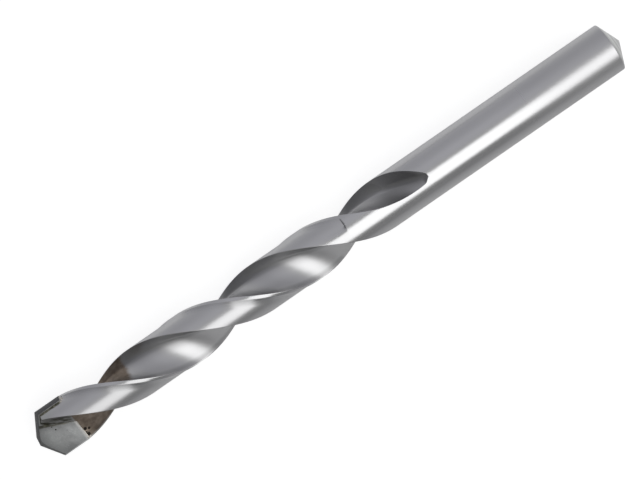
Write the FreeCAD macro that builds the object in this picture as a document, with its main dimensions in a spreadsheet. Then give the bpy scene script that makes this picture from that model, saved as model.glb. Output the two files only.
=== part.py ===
import FreeCAD, Part
import Sketcher
import math
import os

# Masonry drill bit, 9 mm by 120 mm: a fluted steel body with a carbide plate brazed into its end.
# The bodies are drawn along +X with the point of the bit at their origin. They are placed so that the
# bit lies on z = 0 with its middle over the origin. Lengths are millimetres and angles are degrees.
# Angles about the bit are measured from +Y toward +Z, before it is turned to lie.

SIZES = [
    ("overallLength", 120, "point of the carbide to the point of the tail"),
    ("shankDiameter", 9, "plain shank, parallel"),
    ("bodyDiameter", 9.05, "over the margins at the point, tapering back to the shank"),
    ("taperRunOn", 0.5, "end of the run-out to where the taper ends"),
    ("tailConeLength", 1.95, "centred tail end"),
    ("tailRimRadius", 0.3, "rounding of the tail's rim"),
    ("fluteLength", 80, "point to the end of the run-out"),
    ("helixLead", 50, "one full turn of a flute"),
    ("tipTurn", -45.4, "leading edge of the first land at the point"),
    ("landAngle", 73.6, "width of a land"),
    ("coreDiameter", 2.92, "web between the two flute floors"),
    ("floorRadius", 10, "hollow of the flute floor"),
    ("heelCornerRadius", 0.9, "between heel wall and floor"),
    ("heelUndercut", 4, "lean of the heel wall past the radial line"),
    ("clearanceDepth", 0.2, "lands ground below their margins"),
    ("clearanceLength", 63.7, "point to the small step where that ends"),
    ("marginAngle", 9, "full-diameter strip along each leading edge"),
    ("runoutLength", 14, "over which the leading edge leaves its helix"),
    ("runoutLeadDrift", 65.4, "how far it has left it at the end"),
    ("heelDriftLength", 10, "over which the heel edge leaves its helix"),
    ("heelDrift", 24, "how far it has left it at the end"),
    ("liftLength", 8, "over which the floor rises to the surface"),
    ("endDepth", 0.02, "floor below the surface where it stops"),
    ("wallTurnLength", 8.5, "over which the heel wall leans open"),
    ("wallTurn", 39.7, "how far it leans at the end"),
    ("plateThickness", 2, "carbide plate"),
    ("plateLength", 7.4, "carbide plate, point to back edge"),
    ("cuttingDiameter", 9.2, "over the plate's outer corners"),
    ("plateTurn", 22.5, "direction of the plate's width"),
    ("pointAngle", 120, "between the two cutting edges"),
    ("reliefAngle", 12, "flank behind each cutting edge"),
    ("plateCornerRadius", 0.3, "plate's back corners"),
    ("brazeGap", 0.1, "filler between plate and slot"),
    ("steelSetback", 0.3, "steel's point behind the carbide's"),
    ("gashWidth", 3.47, "gash past the middle of the plate at the point"),
    ("gashSlope", 25.9, "slant of the gash's edge along the heel wall"),
    ("layTurn", 16, "how the bit is turned about its axis where it lies"),
]

RUNOUT_STEPS = 8                  # spans between the sections of the run-out
OVERRUN = 3                       # how far a cutter starts before the point
CLEAR = "0.7 * Sizes.shankDiameter"       # radius that is outside the bit everywhere
RADIUS = "Sizes.shankDiameter / 2"
BODY_RADIUS = "Sizes.bodyDiameter / 2"

doc = FreeCAD.newDocument("masonry_drill_bit")
sheet = doc.addObject("Spreadsheet::Sheet", "Sizes")
for row, (alias, size, meaning) in enumerate(SIZES, start=1):
    sheet.set(f"A{row}", alias)
    sheet.set(f"B{row}", str(size))
    sheet.setAlias(f"B{row}", alias)
    sheet.set(f"C{row}", meaning)
doc.recompute()


def value(expression):
    """The number that an expression of the sheet's cells gives now."""
    result = sheet.evalExpression(expression)
    return float(getattr(result, "Value", result))


def cosine(angle):
    return f"cos(({angle}) * 1deg)"


def sine(angle):
    return f"sin(({angle}) * 1deg)"


def tangent(angle):
    return f"tan(({angle}) * 1deg)"


def arcCosine(share):
    return f"(acos({share}) / 1deg)"


# Sketches


def originPart(body, role):
    return next(item for item in body.Origin.OriginFeatures if item.Role == role)


def newSketch(body, name, support):
    sketch = body.newObject("Sketcher::SketchObject", name)
    sketch.AttachmentSupport = [(support, "")]
    sketch.MapMode = "FlatFace"
    return sketch


def offsetAlong(item, axis, distance):
    item.setExpression(f".AttachmentOffset.Base.{axis}", distance)


def turnAbout(item, axis, angle):
    item.AttachmentOffset = FreeCAD.Placement(item.AttachmentOffset.Base, FreeCAD.Rotation(axis, 1))
    item.setExpression(".AttachmentOffset.Rotation.Angle", angle)


def constrain(sketch, kind, *where):
    return sketch.addConstraint(Sketcher.Constraint(kind, *where))


def constrainTo(sketch, kind, where, expression):
    """A constraint whose size is an expression of the sheet's cells."""
    index = constrain(sketch, kind, *where, value(expression))
    sketch.setExpression(f"Constraints[{index}]", expression)


def constrainAngle(sketch, line, angle):
    index = constrain(sketch, "Angle", line, math.radians(value(angle)))
    sketch.setExpression(f"Constraints[{index}]", f"({angle}) * 1deg")


def fixPoint(sketch, geometry, point, across, up):
    constrainTo(sketch, "DistanceX", (-1, 1, geometry, point), across)
    constrainTo(sketch, "DistanceY", (-1, 1, geometry, point), up)


def drawOutline(sketch, corners):
    """A closed outline of straight lines. Each corner is a pair of expressions."""
    points = [FreeCAD.Vector(value(across), value(up), 0) for across, up in corners]
    for start, end in zip(points, points[1:] + points[:1]):
        sketch.addGeometry(Part.LineSegment(start, end), False)
    for line in range(len(points)):
        constrain(sketch, "Coincident", line, 2, (line + 1) % len(points), 1)
    for line, (across, up) in enumerate(corners):
        fixPoint(sketch, line, 1, across, up)


def arc(centre, radius, start, end):
    """An arc that runs counter-clockwise from one point to another."""
    circle = Part.Circle(centre, FreeCAD.Vector(0, 0, 1), radius)
    return Part.ArcOfCircle(circle, circle.parameter(start), circle.parameter(end))


# Flutes


def ramp(station, length):
    """Grows as a parabola from nothing to one over the last stretch of the flute."""
    return f"max(0; 1 - (Sizes.fluteLength - ({station})) / Sizes.{length})^2"


def heelTurn(station):
    """Where the helix carries the heel edge of a flute."""
    return f"Sizes.tipTurn + Sizes.landAngle - 180 + 360 * ({station}) / Sizes.helixLead"


def atStation(sketch, station):
    offsetAlong(sketch, "z", station)
    turnAbout(sketch, FreeCAD.Vector(0, 0, 1), heelTurn(station))


def drawFluteSection(body, name, station):
    """What the flute takes out of one cross-section: heel wall, rounded corner and hollow floor.

    Angle 0 is the heel edge of a full flute. In the run-out the two edges leave their helix, the
    wall leans open and the floor rises.
    """
    heel = f"Sizes.heelDrift * {ramp(station, 'heelDriftLength')}"
    lead = f"180 - Sizes.landAngle - Sizes.runoutLeadDrift * {ramp(station, 'runoutLength')}"
    inward = f"180 + Sizes.heelUndercut - Sizes.wallTurn * {ramp(station, 'wallTurnLength')}"
    core = f"Sizes.coreDiameter / 2 + ({RADIUS} - Sizes.endDepth - Sizes.coreDiameter / 2)" \
           f" * {ramp(station, 'liftLength')}"
    reach = f"({core} + Sizes.floorRadius)"

    def towardFloor(radius):
        """Angle between the floor's centre and where its arc crosses this radius."""
        return arcCosine(f"({reach}^2 + ({radius})^2 - Sizes.floorRadius^2) / (2 * {reach} * ({radius}))")

    floorTurn = f"({lead} - {towardFloor(RADIUS)})"
    floorEnd = f"({floorTurn} + {towardFloor(CLEAR)})"
    wallStart = [f"{RADIUS} * {turned(heel)} - ({CLEAR} - {RADIUS}) * {turned(inward)}"
                 for turned in (cosine, sine)]
    floorCentre = [f"{reach} * {turned(floorTurn)}" for turned in (cosine, sine)]
    outside = [f"2 * {CLEAR} * {turned(f'({heel} + {floorEnd}) / 2')}" for turned in (cosine, sine)]

    start = FreeCAD.Vector(*[value(part) for part in wallStart])
    centre = FreeCAD.Vector(*[value(part) for part in floorCentre])
    along = FreeCAD.Vector(value(cosine(inward)), value(sine(inward)))
    across = FreeCAD.Vector(along.y, -along.x)
    floorRadius, cornerRadius = value("Sizes.floorRadius"), value("Sizes.heelCornerRadius")
    toStart = start + across * cornerRadius - centre
    back = toStart.dot(along)
    run = -back + math.sqrt(back**2 - toStart.dot(toStart) + (floorRadius - cornerRadius)**2)
    wallEnd = start + along * run
    corner = wallEnd + across * cornerRadius
    floorStart = centre + (corner - centre) * (floorRadius / (floorRadius - cornerRadius))
    end = FreeCAD.Vector(value(f"{CLEAR} * {cosine(floorEnd)}"), value(f"{CLEAR} * {sine(floorEnd)}"))
    far = FreeCAD.Vector(*[value(part) for part in outside])

    sketch = newSketch(body, name, originPart(body, "YZ_Plane"))
    sketch.addGeometry(Part.LineSegment(start, wallEnd), False)
    sketch.addGeometry(arc(corner, cornerRadius, floorStart, wallEnd), False)
    sketch.addGeometry(arc(centre, floorRadius, end, floorStart), False)
    sketch.addGeometry(Part.LineSegment(end, far), False)
    sketch.addGeometry(Part.LineSegment(far, start), False)
    constrain(sketch, "Tangent", 0, 2, 1, 2)
    constrain(sketch, "Tangent", 1, 1, 2, 2)
    constrain(sketch, "Coincident", 2, 1, 3, 1)
    constrain(sketch, "Coincident", 3, 2, 4, 1)
    constrain(sketch, "Coincident", 4, 2, 0, 1)
    fixPoint(sketch, 0, 1, *wallStart)
    constrainAngle(sketch, 0, inward)
    constrainTo(sketch, "Radius", (1,), "Sizes.heelCornerRadius")
    fixPoint(sketch, 2, 3, *floorCentre)
    constrainTo(sketch, "Radius", (2,), "Sizes.floorRadius")
    constrainTo(sketch, "Distance", (-1, 1, 2, 1), CLEAR)
    fixPoint(sketch, 3, 2, *outside)
    atStation(sketch, station)
    return sketch


def drawClearanceSection(body, name, station):
    """The thin sector that is ground off a land behind its margin."""
    first = "180 - Sizes.landAngle + Sizes.marginAngle"
    last = "180 + Sizes.marginAngle"
    inner, outer = f"{RADIUS} - Sizes.clearanceDepth", CLEAR
    middle = FreeCAD.Vector(0, 0, 0)

    def point(radius, angle):
        return FreeCAD.Vector(value(f"({radius}) * {cosine(angle)}"), value(f"({radius}) * {sine(angle)}"))

    sketch = newSketch(body, name, originPart(body, "YZ_Plane"))
    sketch.addGeometry(arc(middle, value(inner), point(inner, first), point(inner, last)), False)
    sketch.addGeometry(Part.LineSegment(point(inner, last), point(outer, last)), False)
    sketch.addGeometry(arc(middle, value(outer), point(outer, first), point(outer, last)), False)
    sketch.addGeometry(Part.LineSegment(point(outer, first), point(inner, first)), False)
    constrain(sketch, "Coincident", 0, 2, 1, 1)
    constrain(sketch, "Coincident", 1, 2, 2, 2)
    constrain(sketch, "Coincident", 2, 1, 3, 1)
    constrain(sketch, "Coincident", 3, 2, 0, 1)
    for ring, radius in ((0, inner), (2, outer)):
        constrain(sketch, "Coincident", ring, 3, -1, 1)
        constrainTo(sketch, "Radius", (ring,), radius)
    for side, angle in ((1, last), (3, f"180 + {first}")):
        constrain(sketch, "PointOnObject", -1, 1, side)
        constrainAngle(sketch, side, angle)
    atStation(sketch, station)
    return sketch


def cutHelix(body, name, sketch, length):
    helix = body.newObject("PartDesign::SubtractiveHelix", name)
    helix.Profile = sketch
    helix.ReferenceAxis = (originPart(body, "X_Axis"), [""])
    helix.Mode = "pitch-height-angle"
    helix.setExpression("Pitch", "Sizes.helixLead")
    helix.setExpression("Height", length)
    helix.LeftHanded = False
    return helix


def twoFold(body, name, features):
    """Repeats features on the other side of the bit."""
    pattern = body.newObject("PartDesign::PolarPattern", name)
    pattern.Originals = features
    pattern.Axis = (originPart(body, "X_Axis"), [""])
    pattern.Angle = 360
    pattern.Occurrences = 2
    body.Tip = pattern
    return pattern


def platePlane(body, name, height):
    """A datum plane along the plate, this far in front of its middle."""
    plane = body.newObject("PartDesign::Plane", name)
    plane.AttachmentSupport = [(originPart(body, "XY_Plane"), "")]
    plane.MapMode = "FlatFace"
    turnAbout(plane, FreeCAD.Vector(1, 0, 0), "Sizes.plateTurn")
    offsetAlong(plane, "y", f"-({height}) * {sine('Sizes.plateTurn')}")
    offsetAlong(plane, "z", f"({height}) * {cosine('Sizes.plateTurn')}")
    return plane


def makeFlutedBlank():
    """The steel body before it is slotted for the plate."""
    body = doc.addObject("PartDesign::Body", "fluted_blank")

    outline = newSketch(body, "blank_outline", originPart(body, "XZ_Plane"))
    coneStart = f"Sizes.steelSetback + {BODY_RADIUS} / {tangent('Sizes.pointAngle / 2')}"
    rimStart = "Sizes.overallLength - Sizes.tailConeLength"
    drawOutline(outline, [
        ("Sizes.steelSetback", "0"),
        (coneStart, BODY_RADIUS),
        ("Sizes.fluteLength + Sizes.taperRunOn", RADIUS),
        (rimStart, RADIUS),
        ("Sizes.overallLength", "0"),
    ])
    blank = body.newObject("PartDesign::Revolution", "blank")
    blank.Profile = outline
    blank.ReferenceAxis = (originPart(body, "X_Axis"), [""])
    blank.Angle = 360
    doc.recompute()

    rim = body.newObject("PartDesign::Fillet", "tail_rim")
    rim.Base = (blank, [edgeNearest(blank, value(rimStart))])
    rim.setExpression("Radius", "Sizes.tailRimRadius")

    fluteEnd = "Sizes.fluteLength - Sizes.runoutLength"
    section = drawFluteSection(body, "flute_section", f"-{OVERRUN}")
    flute = cutHelix(body, "flute", section, f"{fluteEnd} + {OVERRUN}")

    sections = [drawFluteSection(body, f"runout_section_{step}",
                                 f"{fluteEnd} + Sizes.runoutLength * {step} / {RUNOUT_STEPS}")
                for step in range(RUNOUT_STEPS + 1)]
    runout = body.newObject("PartDesign::SubtractiveLoft", "runout")
    runout.Profile = sections[0]
    runout.Sections = sections[1:]

    cleared = drawClearanceSection(body, "clearance_section", f"-{OVERRUN}")
    clearance = cutHelix(body, "clearance", cleared, f"Sizes.clearanceLength + {OVERRUN}")

    gashEnd = "Sizes.plateLength + Sizes.brazeGap"
    gashOutline = newSketch(body, "gash_outline", platePlane(body, "plate_face", "Sizes.plateThickness / 2"))
    drawOutline(gashOutline, [
        (f"-{OVERRUN}", f"Sizes.gashWidth + {OVERRUN} * {tangent('Sizes.gashSlope')}"),
        (f"-{OVERRUN}", f"-{CLEAR}"),
        (gashEnd, f"-{CLEAR}"),
        (gashEnd, f"Sizes.gashWidth - ({gashEnd}) * {tangent('Sizes.gashSlope')}"),
    ])
    gash = body.newObject("PartDesign::Pocket", "gash")
    gash.Profile = gashOutline
    gash.Type = "ThroughAll"
    gash.Reversed = True

    twoFold(body, "second_side", [flute, runout, clearance, gash])
    return body


def edgeNearest(feature, station):
    """Name of the round edge whose middle is nearest to a place along the axis."""
    rings = [(abs(edge.CenterOfMass.x - station), number)
             for number, edge in enumerate(feature.Shape.Edges, start=1)
             if isinstance(edge.Curve, Part.Circle)]
    return f"Edge{min(rings)[1]}"


# Plate and its seat


def backCorners(plate):
    """Names of the two edges across the plate's thickness at its back end."""
    return [f"Edge{number}" for number, edge in enumerate(plate.Shape.Edges, start=1)
            if abs(edge.CenterOfMass.x - value("Sizes.plateLength")) < 0.01
            and abs(edge.Length - value("Sizes.plateThickness")) < 0.01]


def makeSlot():
    """The slot for the plate, with room for the filler on both sides and behind."""
    block = doc.addObject("Part::Box", "slot")
    thickness = "Sizes.plateThickness + 2 * Sizes.brazeGap"
    block.setExpression("Length", f"Sizes.plateLength + Sizes.brazeGap + {OVERRUN}")
    block.setExpression("Width", f"2 * {CLEAR}")
    block.setExpression("Height", thickness)
    turn = "Sizes.plateTurn + Sizes.layTurn"
    across = f"({thickness}) / 2 * {sine(turn)} - {CLEAR} * {cosine(turn)}"
    up = f"({thickness}) / 2 * {cosine(turn)} + {CLEAR} * {sine(turn)}"
    layDown(block, turn, f"-{OVERRUN}", across, f"-({up})")
    return block


def boolean(kind, name, base, tool):
    result = doc.addObject(f"Part::{kind}", name)
    result.Base = base
    result.Tool = tool
    return result


def makeCarbideTip():
    """The plate: pointed at 120 degrees, its ends ground round, a flank behind each cutting edge."""
    body = doc.addObject("PartDesign::Body", "carbide_tip")
    halfWidth = "Sizes.cuttingDiameter / 2"

    middle = platePlane(body, "plate_middle", "0")
    outline = newSketch(body, "plate_outline", middle)
    drawOutline(outline, [
        (f"-{OVERRUN}", halfWidth),
        ("Sizes.plateLength", halfWidth),
        ("Sizes.plateLength", f"-{halfWidth}"),
        (f"-{OVERRUN}", f"-{halfWidth}"),
    ])
    plate = body.newObject("PartDesign::Pad", "plate")
    plate.Profile = outline
    plate.SideType = "Symmetric"
    plate.setExpression("Length", "Sizes.plateThickness")

    doc.recompute()
    corners = body.newObject("PartDesign::Fillet", "back_corners")
    corners.Base = (plate, backCorners(plate))
    corners.setExpression("Radius", "Sizes.plateCornerRadius")

    ring = newSketch(body, "end_grinding", originPart(body, "YZ_Plane"))
    for number, radius in enumerate((halfWidth, f"1.5 * {halfWidth}")):
        ring.addGeometry(Part.Circle(FreeCAD.Vector(0, 0, 0), FreeCAD.Vector(0, 0, 1), value(radius)), False)
        constrain(ring, "Coincident", number, 3, -1, 1)
        constrainTo(ring, "Radius", (number,), radius)
    ends = body.newObject("PartDesign::Pocket", "ground_ends")
    ends.Profile = ring
    ends.Type = "ThroughAll"
    ends.Reversed = True

    edge = body.newObject("PartDesign::Plane", "cutting_edge")
    edge.AttachmentSupport = [(middle, "")]
    edge.MapMode = "FlatFace"
    turnAbout(edge, FreeCAD.Vector(0, 0, -1), "Sizes.pointAngle / 2")
    flankOutline = newSketch(body, "flank_outline", edge)
    turnAbout(flankOutline, FreeCAD.Vector(1, 0, 0), "Sizes.reliefAngle")
    drawOutline(flankOutline, [
        (f"-{CLEAR}", "0"),
        (f"-{CLEAR}", f"-{CLEAR}"),
        (f"2 * {CLEAR}", f"-{CLEAR}"),
        (f"2 * {CLEAR}", "0"),
    ])
    flank = body.newObject("PartDesign::Pocket", "flank")
    flank.Profile = flankOutline
    flank.Type = "ThroughAll"
    flank.SideType = "Symmetric"
    twoFold(body, "second_flank", [flank])
    return body


def layDown(piece, turn, along="0", across="0", up="0"):
    """Puts a piece where it belongs on the lying bit, from its place on the bit's own axis."""
    piece.Placement.Rotation = FreeCAD.Rotation(FreeCAD.Vector(1, 0, 0), 1)
    piece.setExpression(".Placement.Rotation.Angle", turn)
    piece.setExpression(".Placement.Base.x", f"{along} - Sizes.overallLength / 2")
    piece.setExpression(".Placement.Base.y", across)
    piece.setExpression(".Placement.Base.z", f"{up} + {BODY_RADIUS}")


fluted = makeFlutedBlank()
carbide = makeCarbideTip()
for body in (fluted, carbide):
    layDown(body, "Sizes.layTurn")
slot = makeSlot()
steel = boolean("Cut", "steel_body", fluted, slot)
filled = boolean("Common", "filled_slot", fluted, slot)
braze = boolean("Cut", "braze_seam", filled, carbide)
doc.recompute()

pieces = [steel, carbide, braze]
failed = [item.Label for item in doc.Objects if {"Invalid", "Error"} & set(item.State)]
if failed:
    raise SystemExit(f"these objects failed: {failed}")
for piece in pieces:
    if piece.Shape.isNull() or not piece.Shape.isValid():
        raise SystemExit(f"{piece.Label} has no valid shape")

os.makedirs("parts", exist_ok=True)
for piece in pieces:
    piece.Shape.exportStep(f"parts/{piece.Label}.step")
    print(piece.Label, len(piece.Shape.Solids), "solid", round(piece.Shape.Volume, 2), "mm3")
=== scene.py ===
import math

import bmesh
import bpy
import numpy as np
from mathutils import Matrix, Vector


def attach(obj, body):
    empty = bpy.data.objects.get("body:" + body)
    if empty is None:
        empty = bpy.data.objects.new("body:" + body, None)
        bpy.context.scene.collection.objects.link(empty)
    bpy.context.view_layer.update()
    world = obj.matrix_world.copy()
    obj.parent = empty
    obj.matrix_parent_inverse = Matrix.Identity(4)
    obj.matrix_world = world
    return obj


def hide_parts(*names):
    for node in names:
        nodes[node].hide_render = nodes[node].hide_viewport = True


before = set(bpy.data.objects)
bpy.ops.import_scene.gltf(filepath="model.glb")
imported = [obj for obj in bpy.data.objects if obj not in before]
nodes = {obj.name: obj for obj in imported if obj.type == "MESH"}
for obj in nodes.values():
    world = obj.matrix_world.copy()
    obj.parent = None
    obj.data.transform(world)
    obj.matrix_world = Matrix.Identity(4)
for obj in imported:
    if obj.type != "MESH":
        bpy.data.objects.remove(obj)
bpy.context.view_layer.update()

# millimetres and degrees here and in the dictionaries below, up to layMatrix
mm = 0.001
bit = {
    "length": 120,
    "axisHeight": 4.525,
    "layTurn": 16,          # how the bit is turned about its own axis where it lies
}


def layMatrix():
    # from the bit's own axis, point at the origin, to where it lies
    turn = Matrix.Rotation(math.radians(bit["layTurn"]), 4, "X")
    place = Matrix.Translation((-bit["length"] / 2 * mm, 0, bit["axisHeight"] * mm))
    return place @ turn @ Matrix.Scale(mm, 4)


def newObject(name, data):
    made = bpy.data.objects.new(name, data)
    bpy.context.scene.collection.objects.link(made)
    return made


def addPiece(name, mesh, node, material):
    piece = newObject(name, mesh)
    mesh.materials.clear()
    mesh.materials.append(material)
    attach(piece, "root")
    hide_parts(node)
    return piece


# shader helpers

def newMaterial(name):
    material = bpy.data.materials.new(name)
    material.use_nodes = True
    tree = material.node_tree
    return material, tree, tree.nodes["Principled BSDF"]


def feed(tree, socket, value):
    # a link from another node, or a plain value
    if isinstance(value, bpy.types.NodeSocket):
        tree.links.new(value, socket)
    elif value is not None:
        socket.default_value = value


def addNode(tree, kind, **settings):
    node = tree.nodes.new("ShaderNode" + kind)
    for name, value in settings.items():
        if name in node.inputs:
            feed(tree, node.inputs[name], value)
        else:
            setattr(node, name, value)
    return node


def noise(tree, vector, scales, detail=3.0, roughness=0.5):
    stretched = addNode(tree, "VectorMath", operation="MULTIPLY", Vector=vector)
    feed(tree, stretched.inputs[1], scales)
    node = addNode(tree, "TexNoise", Vector=stretched.outputs[0], Scale=1.0, Detail=detail,
                   Roughness=roughness)
    return node.outputs["Fac"]


def remap(tree, value, low, high, newLow=0.0, newHigh=1.0, smooth=True):
    kind = "SMOOTHSTEP" if smooth else "LINEAR"
    node = addNode(tree, "MapRange", interpolation_type=kind, Value=value)
    for socket, number in zip(node.inputs[1:5], (low, high, newLow, newHigh)):
        socket.default_value = number
    return node.outputs["Result"]


def calculate(tree, operation, first, second=None):
    node = addNode(tree, "Math", operation=operation)
    for socket, value in zip(node.inputs, (first, second)):
        feed(tree, socket, value)
    return node.outputs[0]


def multiply(tree, first, second):
    return calculate(tree, "MULTIPLY", first, second)


def add(tree, first, second):
    return calculate(tree, "ADD", first, second)


def subtract(tree, first, second):
    return calculate(tree, "SUBTRACT", first, second)


def larger(tree, first, second):
    return calculate(tree, "MAXIMUM", first, second)


def blendColours(tree, share, first, second):
    node = addNode(tree, "Mix", data_type="RGBA")
    feed(tree, node.inputs["Factor"], share)
    for name, colour in (("A", first), ("B", second)):
        feed(tree, node.inputs[name], (*colour, 1) if isinstance(colour, tuple) else colour)
    return node.outputs["Result"]


def mixValues(tree, share, first, second):
    node = addNode(tree, "Mix", data_type="FLOAT")
    for name, value in (("Factor", share), ("A", first), ("B", second)):
        feed(tree, node.inputs[name], value)
    return node.outputs["Result"]


def bitCoordinates(tree):
    # station along the bit, radius from its axis, the point, and the point untwisted along the flutes
    point = addNode(tree, "TexCoord").outputs["Object"]
    scaled = addNode(tree, "VectorMath", operation="MULTIPLY_ADD")
    start = (bit["length"] / 2, 0, -bit["axisHeight"])
    for socket, value in zip(scaled.inputs, (point, (1 / mm, 1 / mm, 1 / mm), start)):
        feed(tree, socket, value)
    parts = addNode(tree, "SeparateXYZ", Vector=scaled.outputs[0])
    flat = addNode(tree, "CombineXYZ", Y=parts.outputs["Y"], Z=parts.outputs["Z"])
    length = addNode(tree, "VectorMath", operation="LENGTH", Vector=flat.outputs[0])
    turns = multiply(tree, parts.outputs["X"], -2 * math.pi / steel["helixLead"])
    twist = addNode(tree, "VectorRotate", rotation_type="X_AXIS", Vector=scaled.outputs[0],
                    Angle=turns)
    return {"station": parts.outputs["X"], "radius": length.outputs["Value"], "point": scaled.outputs[0],
            "untwisted": twist.outputs[0]}


def spots(tree, point, places, soft=0.5):
    # round marks at points given as station, radius, angle round the bit's own axis and size
    shares = []
    for station, radius, angle, size in places:
        turn = math.radians(angle + bit["layTurn"])
        distance = addNode(tree, "VectorMath", operation="DISTANCE", Vector=point)
        feed(tree, distance.inputs[1], (station, radius * math.cos(turn), radius * math.sin(turn)))
        shares.append(remap(tree, distance.outputs["Value"], size * (1 - soft), size, 1.0, 0.0))
    total = shares[0]
    for share in shares[1:]:
        total = larger(tree, total, share)
    return total


def addBump(tree, shader, height, distance):
    node = addNode(tree, "Bump", Strength=1.0, Distance=distance, Height=height)
    tree.links.new(node.outputs["Normal"], shader.inputs["Normal"])


# meshes, in millimetres until layMatrix moves them

meshing = {
    "joinDistance": 0.0002,     # points closer than this are one
    "flatDistance": 0.001,      # edges shorter than this are taken out of a flat face
    "planeDistance": 0.0001,    # points this near to a plane lie in it
}


def store(editing, mesh):
    editing.to_mesh(mesh)
    editing.free()
    return mesh


# steel body

steel = {
    "shankRadius": 4.5,
    "bodyRadius": 4.522,        # over the margins at the point
    "taperEnd": 80.5,
    "fluteEnd": 80,
    "helixLead": 50,
    "tipTurn": -45.4,
    "landAngle": 73.6,
    "coreRadius": 1.46,
    "floorRadius": 10,
    "heelCornerRadius": 1.2,
    "heelUndercut": 4,
    "clearedRadius": 4.3,
    "clearanceEnd": 63.7,
    "marginAngle": 9,
    "runoutLength": 14,
    "runoutLeadDrift": 65.4,
    "heelDriftLength": 10,
    "heelDrift": 24,
    "liftLength": 8,
    "endDepth": 0.02,
    "wallTurnLength": 8.5,
    "wallTurn": 39.7,
    "tailCone": 1.95,
    "tailRim": 0.3,
    "setback": 0.56,            # the worn front of the steel behind the ground point
    "pointAngle": 120,
    "edgeRound": 0.035,         # worn edges of the flutes
    "stepWidth": 1.5,           # hollow slope from the margin down to the cleared land
    "clearanceRise": 0.14,      # length over which the cleared land comes up again by the margin
    "heelRise": 8,              # and by the heel
    "sharpShare": 0.3,          # share of the land over which it comes up at once
    "endSlant": 1.2,            # length over which the end of the flute is cut off at a slant
    "heelCut": 0.14,            # shares of its width that the slant takes from each side
    "leadCut": 0.5,
    "endFlattening": 0.5,       # share of its depth that it loses there
    "frontCut": 12,             # how far back the cuts at the front can reach
    "coneLength": 16,           # of the cone that shapes the front
    "coneSides": 720,
    "smoothAngle": 32,
    "largestTurn": 2.6,         # radians that the rounding of an edge reckons with
    "edgeShare": 0.45,          # share of the sides beside an edge that its rounding may take
    # rows along the bit
    "firstRow": -1.0,
    "rowStep": 0.3,
    "clearanceRows": 7,
    "runoutStep": 0.16,
    "slantRows": 18,
    "shankStep": 1.2,
    "rimRows": 7,
    "coneRows": 14,
    # points round a row; the flute's curve starts and ends outside the bar
    "wallOvershoot": 2,
    "floorOvershoot": 1.4,
    "wallPoints": 80,
    "cornerPoints": 24,
    "floorPoints": 160,
    "flutePoints": 60,
    "marginPoints": 6,
    "landPoints": 52,
    "landCrowding": 1.35,       # closer together by the margin
}


def ramp(station, length):
    return max(0.0, 1 - (steel["fluteEnd"] - station) / length) ** 2


def barRadius(station):
    share = min(1.0, max(0.0, station / steel["taperEnd"]))
    return steel["bodyRadius"] + (steel["shankRadius"] - steel["bodyRadius"]) * share


def heelTurn(station):
    return math.radians(steel["tipTurn"] + steel["landAngle"] - 180 + 360 * station / steel["helixLead"])


def onCircle(radius, angle):
    return radius * np.stack([np.cos(angle), np.sin(angle)], axis=-1)


def fluteCurve(station):
    # heel wall, rounded corner and hollow floor, from outside the bar to outside it
    radius, floor, corner = steel["shankRadius"], steel["floorRadius"], steel["heelCornerRadius"]
    heel = math.radians(steel["heelDrift"] * ramp(station, steel["heelDriftLength"]))
    lead = 180 - steel["landAngle"] - steel["runoutLeadDrift"] * ramp(station, steel["runoutLength"])
    wallTurn = steel["wallTurn"] * ramp(station, steel["wallTurnLength"])
    inward = math.radians(180 + steel["heelUndercut"] - wallTurn)
    core = steel["coreRadius"]
    core += (radius - steel["endDepth"] - core) * ramp(station, steel["liftLength"])
    reach = core + floor
    turn = math.radians(lead) - math.acos((reach**2 + radius**2 - floor**2) / (2 * reach * radius))
    centre = onCircle(reach, turn)
    along = onCircle(1, inward)
    across = np.array([along[1], -along[0]])
    top = onCircle(radius, heel)
    offset = top + across * corner - centre
    back = offset @ along
    run = -back + math.sqrt(back**2 - offset @ offset + (floor - corner) ** 2)
    wallEnd = top + along * run
    cornerCentre = wallEnd + across * corner
    toFloor = (cornerCentre - centre) / (floor - corner)
    wall = top + along * np.linspace(-steel["wallOvershoot"], run, steel["wallPoints"])[:, None]
    startAngle, endAngle = math.atan2(*(wallEnd - cornerCentre)[::-1]), math.atan2(*toFloor[::-1])
    startAngle += 2 * math.pi * (startAngle < endAngle)
    rounded = cornerCentre + onCircle(corner, np.linspace(startAngle, endAngle, steel["cornerPoints"])[1:])
    outer = steel["floorOvershoot"] * radius
    exitTurn = turn + math.acos((reach**2 + outer**2 - floor**2) / (2 * reach * outer))
    exitAngle = math.atan2(*(onCircle(outer, exitTurn) - centre)[::-1])
    floorStart = endAngle + 2 * math.pi * (endAngle < exitAngle)
    hollow = centre + onCircle(floor, np.linspace(floorStart, exitAngle, steel["floorPoints"])[1:])
    return np.vstack([wall, rounded, hollow])


def crossing(curve, index, radius):
    # where the curve meets this radius between two of its points
    first, second = curve[index], curve[index + 1]
    step = second - first
    a, b, c = step @ step, 2 * first @ step, first @ first - radius**2
    root = math.sqrt(max(0.0, b * b - 4 * a * c))
    shares = [(-b - root) / (2 * a), (-b + root) / (2 * a)]
    share = min(shares, key=lambda value: abs(value - 0.5))
    return first + step * share


def resample(curve, count):
    lengths = np.concatenate([[0], np.cumsum(np.linalg.norm(np.diff(curve, axis=0), axis=1))])
    places = np.linspace(0, lengths[-1], count)
    return np.stack([np.interp(places, lengths, curve[:, axis]) for axis in (0, 1)], axis=-1)


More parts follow.
